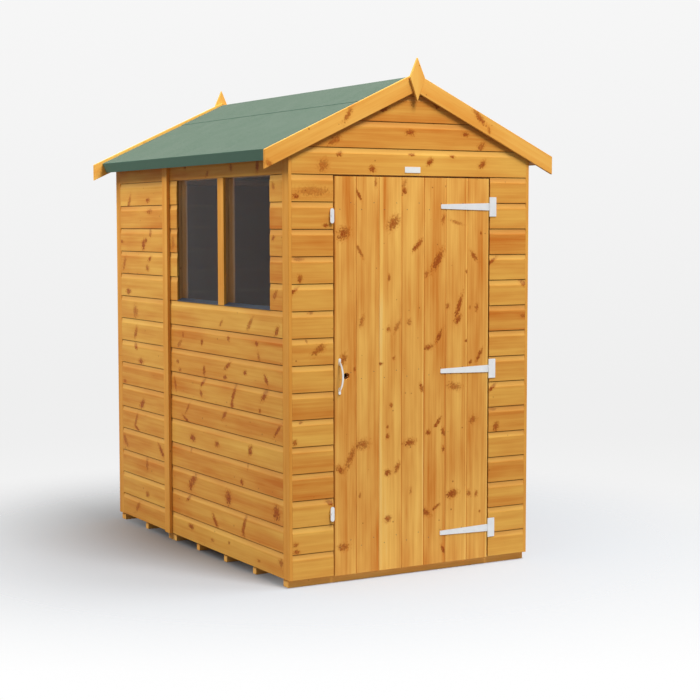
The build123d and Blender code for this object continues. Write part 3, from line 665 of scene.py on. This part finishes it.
def branch_knots(boards, start, end, low, high, chance):
    """Knots of one board in metres and radians, as in the table: those seen, or else chance ones."""
    if boards in seen_knots:
        inside = [knot for knot in seen_knots[boards]
                  if start < knot[0] / 1000 < end and low < knot[1] / 1000 < high]
        return [(*(size / 1000 for size in sizes), radians(lean), strength)
                for *sizes, lean, strength in inside]
    knots = []
    along = start + chance.uniform(*first_whorl) * whorl_spacing
    while along < end:
        half_length = chance.uniform(*chance_half_length)
        half_width = chance.uniform(*chance_half_width)
        lean = radians(chance.uniform(*chance_lean))
        across = chance.uniform(low + chance_edge, high - chance_edge)
        knots.append((along, across, half_length, half_width, lean, chance.uniform(*chance_strength)))
        along += whorl_spacing * chance.uniform(*next_whorl)
    return knots


def set_knots(board, along, across, knots):
    """Cuts a board's faces round each knot and writes the place in it, in its radii, and its strength."""
    layers = [board.loops.layers.float_vector.new(name) for name in knot_layers]
    ends = [-inf] * len(layers)
    spans = []
    for knot in sorted(knots):
        place, _, half_length, half_width, lean, _ = knot
        reach = knot_reach * ((half_length * sin(lean)) ** 2 + (half_width * cos(lean)) ** 2) ** 0.5
        free = ends.index(min(ends))
        spans.append((layers[free], max(place - reach, ends[free]), place + reach, knot))
        ends[free] = place + reach
    for mark in sorted({mark for _, start, end, _ in spans for mark in (start, end)}):
        cut(board, along * mark, along)
    for face in board.faces:
        middle = face.calc_center_median().dot(along)
        for layer, start, end, (place, height, half_length, half_width, lean, strength) in spans:
            if start < middle < end:
                for loop in face.loops:
                    beside = loop.vert.co.dot(along) - place
                    above = loop.vert.co.dot(across) - height
                    lengthwise = (beside * sin(lean) + above * cos(lean)) / half_length
                    sideways = (beside * cos(lean) - above * sin(lean)) / half_width
                    loop[layer] = (lengthwise, sideways, strength)


# Shiplap walls: each board has a hollow cove at its top, under the lip of the board above

def shiplap_outline(cover):
    """Depth and height round one board: lip, face, cove, groove, tongue and back."""
    lip = lap_groove / 2
    cove_start = cover - cove_height
    outline = [(0, lip), (0, cove_start)]
    for step in range(1, cove_steps + 1):
        share = step / cove_steps
        depth = cove_depth * (1 - (1 - share) ** cove_curve)
        outline.append((depth, cove_start + (cove_height - lip) * share))
    outline += [
        (lap_depth, cover - lip),
        (lap_depth, cover + lap_tongue - lap_play),
        (board_thickness, cover + lap_tongue - lap_play),
        (board_thickness, lap_tongue),
        (lap_depth - lap_play, lap_tongue),
        (lap_depth - lap_play, lip),
    ]
    return outline


def courses(low, high):
    """Bottom and top of each course of boards that shows between two heights, set out from the door head."""
    below = round((door_head - boarding_bottom) / board_cover)
    steps = range(1 - below, gable_courses + 1)
    joints = [boarding_bottom] + [door_head + step * board_cover for step in steps]
    return [(start, end) for start, end in zip(joints, joints[1:])
            if end > low + lap_play and start < high - lap_play]


def shiplap(name, slab, inward, spans=None, trims=()):
    """A boarded wall in place of a packed slab."""
    low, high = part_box(slab)
    along = ACROSS if abs(inward.y) > abs(inward.x) else DEEP
    near = low if inward.dot(ACROSS + DEEP) > 0 else high
    outer = near.dot(inward) * inward
    chance = random.Random(slab)
    boards = []
    for bottom, top in courses(low.z, high.z):
        for start, end in spans or [(low.dot(along), high.dot(along))]:
            board = drawn_bar(shiplap_outline(top - bottom), end - start)
            arrises = [edge for edge in board.edges
                       if all(abs(vert.co.y) < lap_play / 2 for vert in edge.verts)
                       and abs(edge.verts[0].co.x - edge.verts[1].co.x) > lap_play]
            ease(board, arrises, board_arris)
            dark_laps_painted_cove_highlight = board.verts.layers.float.new("dark_laps_painted_cove_highlight")
            back = board.verts.layers.float.new("back")
            # Marks each board's laps for darkening, partly preservative and partly painted shade, and its
            # cove for a painted highlight
            for vert in board.verts:
                vert[back] = vert.co.y > board_thickness - lap_play
                if not vert[back] and vert.co.z > top - bottom - cove_height + board_arris:
                    vert[dark_laps_painted_cove_highlight] = 1 if vert.co.y > cove_depth + lap_play else -1
            set_in_place(board, outer + along * start + UP * bottom, along, inward, UP)
            for point, outward in trims:
                trim(board, point, outward)
            if board.verts:
                mark_grain(board.verts, grain_layers(board), along, UP, chance)
                set_knots(board, along, UP, branch_knots(slab, start, end, bottom, top, chance))
                boards.append(board)
    return new_piece(name, joined(boards), wall_wood, "shed", "dipped_boarding", slab)


gable_trims = [(UP * ridge_underside, RISE[side]) for side in (-1, 1)]
side_trims = [(UP * side_wall_top, UP)]
sill_trims = [(UP * window_low.z, UP)]
head_trims = [(UP * door_head, UP)]
beside_low, beside_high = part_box("left_wall_beside_window")
beside_spans = [(beside_low.y, window_low.y), (window_high.y, beside_high.y)]

shiplap("front_boards_left", "front_wall_left", DEEP)
shiplap("front_boards_right", "front_wall_right", DEEP)
shiplap("front_gable_boards", "front_gable", DEEP, trims=gable_trims)
shiplap("back_boards", "back_wall", -DEEP, trims=gable_trims)
shiplap("left_rear_boards", "left_rear_wall", ACROSS, trims=side_trims)
shiplap("left_boards_below_window", "left_wall_below_window", ACROSS, trims=sill_trims)
shiplap("left_boards_beside_window", "left_wall_beside_window", ACROSS, beside_spans, head_trims)
shiplap("left_boards_above_window", "left_wall_above_window", ACROSS, trims=side_trims)
shiplap("right_front_boards", "right_front_wall", -ACROSS, trims=side_trims)
shiplap("right_rear_boards", "right_rear_wall", -ACROSS, trims=side_trims)


# Tongued boards: the door, the floor and the roof

def board_spans(low, high, cover, first=None):
    """Where each of several boards laid side by side starts and ends."""
    edges = [low]
    step = first or cover
    while edges[-1] + step < high - cover * narrowest_share:
        edges.append(edges[-1] + step)
        step = cover
    return list(zip(edges, edges[1:] + [high]))


def vee_outline(width, thickness, vee, vee_depth):
    """Depth and width round one tongued board, with a small vee at each long edge of its face."""
    face = [(vee_depth, 0), (0, vee), (0, width - vee), (vee_depth, width)]
    return face + [(thickness, width), (thickness, 0)]


def bored(board, centre, radius):
    """The board with a round hole bored through it from front to back."""
    drill = bmesh.new()
    bmesh.ops.create_cone(drill, cap_ends=True, segments=lock_hole_sides, radius1=radius, radius2=radius,
                          depth=drill_length)
    bmesh.ops.rotate(drill, matrix=Matrix.Rotation(pi / 2, 3, "X"), verts=drill.verts)
    bmesh.ops.translate(drill, vec=centre, verts=drill.verts)
    solids = [new_object("board", board), new_object("drill", drill)]
    bore = solids[0].modifiers.new("bore", "BOOLEAN")
    bore.object = solids[1]
    evaluated = solids[0].evaluated_get(bpy.context.evaluated_depsgraph_get())
    result = bmesh.new()
    result.from_mesh(evaluated.to_mesh())
    evaluated.to_mesh_clear()
    for solid in solids:
        bpy.data.meshes.remove(solid.data)
    return result


def sapwood_edge(plank, tone, edge, inward, width):
    """Makes a strip along one edge of a board paler, with a soft inner side."""
    for share in (sapwood_whole, 1):
        cut(plank, edge * ACROSS + share * width * inward, ACROSS)
    for vert in plank.verts:
        if width and (vert.co.x - edge) * inward.x < (sapwood_whole + 1) / 2 * width:
            vert[tone] -= sapwood_paleness


handle_low, handle_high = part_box("door_handle")
hinge_height = (handle_low.z + handle_high.z) / 2
lock_hole = Vector((door_low.x + lock_hole_inset, front_face, hinge_height))
chance = random.Random("door")
door_spans = board_spans(door_low.x, door_high.x, door_board_cover, first_door_board)
door_planks = []
for (left, right), sapwood in zip(door_spans, door_sapwood):
    outline = vee_outline(right - left, board_thickness, door_vee, door_vee_depth)
    plank = drawn_bar(outline, door_high.z - door_low.z)
    set_in_place(plank, Vector((left, front_face, door_low.z)), UP, DEEP, ACROSS)
    if left < lock_hole.x < right:
        plank = bored(plank, lock_hole, lock_hole_radius)
    layers = grain_layers(plank)
    mark_grain(plank.verts, layers, UP, ACROSS, chance)
    for edge, inward, width in ((left, ACROSS, sapwood[0]), (right, -ACROSS, sapwood[1])):
        sapwood_edge(plank, layers[1], edge, inward, width)
    set_knots(plank, UP, ACROSS, branch_knots("door_boards", door_low.z, door_high.z, left, right, chance))
    door_planks.append(plank)
new_piece("door_planks", joined(door_planks), door_wood, "door", "dipped_boarding", "door_boards")

floor_low, floor_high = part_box("floor_boards")
floor_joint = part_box("left_wall_below_window")[1].y - floor_joint_inset
floor_panels = (
    (floor_low.y, floor_joint - floor_joint_gap / 2),
    (floor_joint + floor_joint_gap / 2, floor_high.y),
)
chance = random.Random("floor")
floor_planks = []
for start, end in floor_panels:
    for left, right in board_spans(floor_low.x, floor_high.x, floor_board_cover):
        outline = vee_outline(right - left, floor_high.z - floor_low.z, plain_vee, plain_vee)
        plank = drawn_bar(outline, end - start)
        set_in_place(plank, Vector((left, start, floor_high.z)), DEEP, -UP, ACROSS)
        mark_grain(plank.verts, grain_layers(plank), DEEP, ACROSS, chance)
        floor_planks.append(plank)
new_piece("floor_planks", joined(floor_planks), frame_wood, "shed", "plain_boarding", "floor_boards")

for side, name in ((-1, "left"), (1, "right")):
    run = FALL[side]
    rise = RISE[side]
    deck_low, deck_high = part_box(f"{name}_roof_deck")
    deck_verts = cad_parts[f"{name}_roof_deck"].data.vertices
    deck_start, deck_end = extent(deck_verts, run)
    deck_under, deck_top = extent(deck_verts, rise)
    ridge_mitre = ACROSS * side * min(abs(deck_low.x), abs(deck_high.x))
    chance = random.Random(f"{name} roof")
    roof_planks = []
    for near, far in board_spans(deck_low.y, deck_high.y, roof_board_cover):
        outline = vee_outline(far - near, deck_top - deck_under, plain_vee, plain_vee)
        plank = drawn_bar(outline, deck_end - deck_start)
        set_in_place(plank, run * deck_start + rise * deck_under + DEEP * near, run, rise, DEEP)
        trim(plank, ridge_mitre, -side * ACROSS)
        mark_grain(plank.verts, grain_layers(plank), run, DEEP, chance)
        roof_planks.append(plank)
    new_piece(f"{name}_roof_planks", joined(roof_planks), frame_wood, "shed", "plain_boarding",
              f"{name}_roof_deck")


# Framing, trim and base timbers

def longest(verts):
    """The axis along which a solid's vertices spread furthest."""
    axes = (ACROSS, DEEP, UP)
    spread = [high - low for low, high in (extent(verts, axis) for axis in axes)]
    return axes[spread.index(max(spread))]


def planed_timbers(name, material, body, slot, along, *nodes):
    """Squared timbers with eased edges, each with its own grain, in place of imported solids.

    The grain runs along the given axis, or along each timber's own length where none is given.
    """
    shapes = []
    for packed in nodes:
        shape = node_shape(packed)
        ease(shape, sharp_edges(shape), timber_arris)
        layers = grain_layers(shape)
        chance = random.Random(packed)
        for solid in islands(shape):
            run = longest(solid) if along is None else along
            mark_grain(solid, layers, run, ACROSS if run == UP else UP, chance)
        shapes.append(shape)
    return new_piece(name, joined(shapes), material, body, slot, *nodes)


def barge_timbers(name, packed):
    """Barge boards whose grain follows the slope on each side of the ridge."""
    chance = random.Random(packed)
    boards = []
    for side, hand in ((-1, "left"), (1, "right")):
        board = node_shape(packed)
        others = [vert for vert in board.verts if vert.co.x * side < 0]
        bmesh.ops.delete(board, geom=others, context="VERTS")
        ease(board, sharp_edges(board), barge_arris)
        mark_grain(board.verts, grain_layers(board), FALL[side], RISE[side], chance)
        start, end = extent(board.verts, FALL[side])
        low, high = extent(board.verts, RISE[side])
        knots = branch_knots(f"{packed} {hand}", start, end, low, high, chance)
        set_knots(board, FALL[side], RISE[side], knots)
        boards.append(board)
    return new_piece(name, joined(boards), barge_wood, "shed", "dipped_boarding", packed)


planed_timbers("base_bearers", bearer_wood_painted_paler, "shed", "framing_timber", ACROSS, "floor_bearers")
planed_timbers("wall_studs", frame_wood, "shed", "framing_timber", UP,
               "front_studs", "back_studs", "left_studs", "right_studs")
planed_timbers("wall_rails", frame_wood, "shed", "framing_timber", None,
               "front_rails", "back_rails", "left_rails", "right_rails")
planed_timbers("roof_rail_timbers", frame_wood, "shed", "framing_timber", DEEP, "roof_rails")
planed_timbers("cover_battens", trim_wood, "shed", "dipped_boarding", UP, "cover_strips")
planed_timbers("mullion_batten", trim_wood, "shed", "dipped_boarding", UP, "window_mullion")
planed_timbers("finial_boards", barge_wood, "shed", "dipped_boarding", UP, "front_finial", "back_finial")
planed_timbers("door_ledge_timbers", frame_wood, "door", "framing_timber", ACROSS, "door_ledges")
planed_timbers("door_stop_laths", frame_wood, "shed", "framing_timber", None, "door_stops")
barge_timbers("front_barge_timbers", "front_barge_boards")
barge_timbers("back_barge_timbers", "back_barge_boards")


# Felt: sheets with a soft fold at the eaves and at the ridge

def felt_sheet(name, packed):
    """A felt sheet whose folds are slightly round, in place of a packed one."""
    shape = node_shape(packed)
    folds = []
    for edge in sharp_edges(shape):
        run = edge.verts[0].co - edge.verts[1].co
        lengthwise = abs(run.normalized().dot(DEEP)) > 0.9 and run.length > shortest_fold
        if lengthwise and edge.calc_face_angle_signed(0) > 0:
            folds.append(edge)
    ease(shape, folds, felt_fold, steps=3)
    return new_piece(name, shape, felt, "shed", "mineral_felt", packed)


for name in ("left_roof_felt", "right_roof_felt", "ridge_felt"):
    felt_sheet(f"{name}_sheet", name)


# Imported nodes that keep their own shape
for name, material in (
    ("window_panes", glazing),
    ("window_sill_strips", strip_plastic),
    ("hinge_straps", zinc),
    ("hinge_plates", zinc),
    ("door_handle", zinc),
    ("button_pins", zinc),
    ("top_turn_button", zinc),
    ("bottom_turn_button", zinc),
):
    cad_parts[name].data.materials.clear()
    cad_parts[name].data.materials.append(material)


# Nails, screws and the plate over the door

def heads(places, radius, stand, sides):
    """Low domed heads on faces that look to the front, joined into one shape."""
    shapes = []
    turn = UP.rotation_difference(-DEEP).to_matrix()
    for place in places:
        head = bmesh.new()
        bmesh.ops.create_cone(head, cap_ends=True, segments=sides, radius1=radius,
                              radius2=radius * crown_share, depth=2 * stand)
        bmesh.ops.rotate(head, matrix=turn, verts=head.verts)
        bmesh.ops.translate(head, vec=place, verts=head.verts)
        shapes.append(head)
    return joined(shapes)


strap_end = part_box("hinge_straps")[1].x
hinge_plate_low, hinge_plate_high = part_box("hinge_plates")
hinge_heights = (hinge_plate_low.z + hinge_plate_half, hinge_height, hinge_plate_high.z - hinge_plate_half)
strap_face = front_face - strap_thickness

door_nails = []
strap_screws = []
plate_screws = []
for height in hinge_heights:
    for left, right in door_spans:
        door_nails.append(Vector((left + nail_inset, front_face, height - nail_stagger)))
        door_nails.append(Vector((right - nail_inset, front_face, height + nail_stagger)))
    for distance in strap_screw_places:
        strap_screws.append(Vector((strap_end - distance, strap_face, height)))
    for rise in (-plate_screw_rise, plate_screw_rise):
        plate_screws.append(Vector((hinge_plate_high.x - plate_screw_inset, strap_face, height + rise)))
nail_heads = heads(door_nails, nail_radius, nail_stand, nail_sides)
new_piece("door_nail_heads", nail_heads, strip_plastic, "door", "zinc_fittings")
strap_heads = heads(strap_screws, screw_radius, screw_stand, screw_sides)
new_piece("strap_screw_heads", strap_heads, zinc, "door", "zinc_fittings")
plate_heads = heads(plate_screws, screw_radius, screw_stand, screw_sides)
new_piece("plate_screw_heads", plate_heads, zinc, "shed", "zinc_fittings")

plate = bmesh.new()
bmesh.ops.create_cube(plate, size=1)
bmesh.ops.scale(plate, vec=(plate_width, plate_thickness, plate_height), verts=plate.verts)
corners = [edge for edge in plate.edges if abs((edge.verts[0].co - edge.verts[1].co).y) > plate_thickness / 2]
ease(plate, corners, plate_round, steps=3)
plate_place = Vector((plate_aside, front_face - plate_thickness / 2, door_head + plate_rise))
bmesh.ops.translate(plate, vec=plate_place, verts=plate.verts)
new_piece("blank_plate", plate, enamel, "shed", "zinc_fittings")


# Studio: a pale floor that fades into the backdrop, a soft sky and three large lamps
floor_radius = 14
floor_sides = 96
floor_near = 0.45
floor_far = 2.6
floor_tint = linear("#b9bcc0")
floor_tint_in_view = linear("#c1c6cc")
backdrop_front = linear("#ffffff")
backdrop_low = linear("#efefef")
backdrop_high = linear("#f7f7f7")
# Where the backdrop turns paler upward and towards the front: the upward share of the direction of view
backdrop_rise = (-0.1, 0.16)
backdrop_front_fall = (-0.13, -0.27)
sky_white = linear("#ffffff")
sky_low = 0.2
sky_high = 0.46


def in_view(tree):
    """1 for what the camera sees, also in metal and through glass, and 0 for what only lights the shed."""
    paths = node(tree, "LightPath")
    seen = paths.outputs["Is Camera Ray"]
    for ray in ("Is Glossy Ray", "Is Transmission Ray"):
        seen = node(tree, "Math", {0: seen, 1: paths.outputs[ray]}, operation="ADD", use_clamp=True)
    return seen


floor_shape = bmesh.new()
bmesh.ops.create_circle(floor_shape, cap_ends=True, segments=floor_sides, radius=floor_radius)
floor = new_object("studio_floor", floor_shape)
floor_paint, tree = new_material("pale studio floor")
place = node(tree, "TexCoord").outputs["Object"]
distance = node(tree, "VectorMath", {0: place}, operation="LENGTH").outputs["Value"]
fade = node(tree, "MapRange", {"Value": distance, "From Min": floor_near, "From Max": floor_far},
            interpolation_type="SMOOTHSTEP")
tint = node(tree, "Mix", {0: in_view(tree), 6: floor_tint, 7: floor_tint_in_view}, data_type="RGBA")
paint = node(tree, "BsdfDiffuse", {"Color": tint})
clear = node(tree, "BsdfTransparent")
blend = node(tree, "MixShader", {0: fade, 1: paint, 2: clear})
node(tree, "OutputMaterial", {0: blend})
floor.data.materials.append(floor_paint)

world = bpy.data.worlds.new("studio")
scene.world = world
world.use_nodes = True
tree = world.node_tree
tree.nodes.clear()
direction = node(tree, "SeparateXYZ", {0: node(tree, "TexCoord").outputs["Generated"]})
upward = direction.outputs[2]
high = node(tree, "MapRange", {"Value": upward, "From Min": backdrop_rise[0], "From Max": backdrop_rise[1]})
front = node(tree, "MapRange", {"Value": upward, "From Min": backdrop_front_fall[0],
                                "From Max": backdrop_front_fall[1]})
backdrop = node(tree, "Mix", {0: high, 6: backdrop_low, 7: backdrop_high}, data_type="RGBA")
backdrop = node(tree, "Mix", {0: front, 6: backdrop, 7: backdrop_front}, data_type="RGBA")
shown = node(tree, "Background", {"Color": backdrop, "Strength": 1.0})
level = node(tree, "MapRange", {"Value": upward, "To Min": sky_low, "To Max": sky_high})
sky = node(tree, "Background", {"Color": sky_white, "Strength": level})
mixed = node(tree, "MixShader", {0: in_view(tree), 1: sky, 2: shown})
node(tree, "OutputWorld", {0: mixed})


def softbox(name, place, aim, width, height, power):
    """A large soft lamp that faces a point."""
    lamp = bpy.data.lights.new(name, "AREA")
    lamp.shape = "RECTANGLE"
    lamp.size = width
    lamp.size_y = height
    lamp.energy = power
    holder = bpy.data.objects.new(name, lamp)
    holder.location = place
    holder.rotation_euler = (Vector(aim) - Vector(place)).to_track_quat("-Z", "Y").to_euler()
    scene.collection.objects.link(holder)
    holder.visible_glossy = False
    return holder


# A high key from the right, a lamp over the front and one from the upper left
softbox("right_key", place=(4.2, -2.2, 10.2), aim=(0, 0, 0.9), width=4.5, height=4.5, power=480)
softbox("front_top", place=(0.5, -4.8, 7.9), aim=(0, -0.9, 1.0), width=2.4, height=2.4, power=640)
left_top = softbox("left_top", place=(-3.8, 1.8, 6.5), aim=(-0.6, 0.1, 1.0), width=2.4, height=3.0, power=470)

# The left lamp is flagged off the floor, so that the shed's shadow stays there
flag = bpy.data.collections.new("flagged_from_left_top")
flag.objects.link(floor)
flag.collection_objects[0].light_linking.link_state = "EXCLUDE"
left_top.light_linking.receiver_collection = flag

lens = bpy.data.cameras.new("photo_camera")
lens.sensor_fit = "HORIZONTAL"
lens.sensor_width = camera_sensor
lens.lens = camera_lens
camera = bpy.data.objects.new("photo_camera", lens)
camera.location = camera_place
camera.rotation_euler = (radians(90 - camera_dip), radians(camera_roll), radians(-camera_turn))
scene.collection.objects.link(camera)
scene.camera = camera

scene.view_settings.view_transform = "Standard"
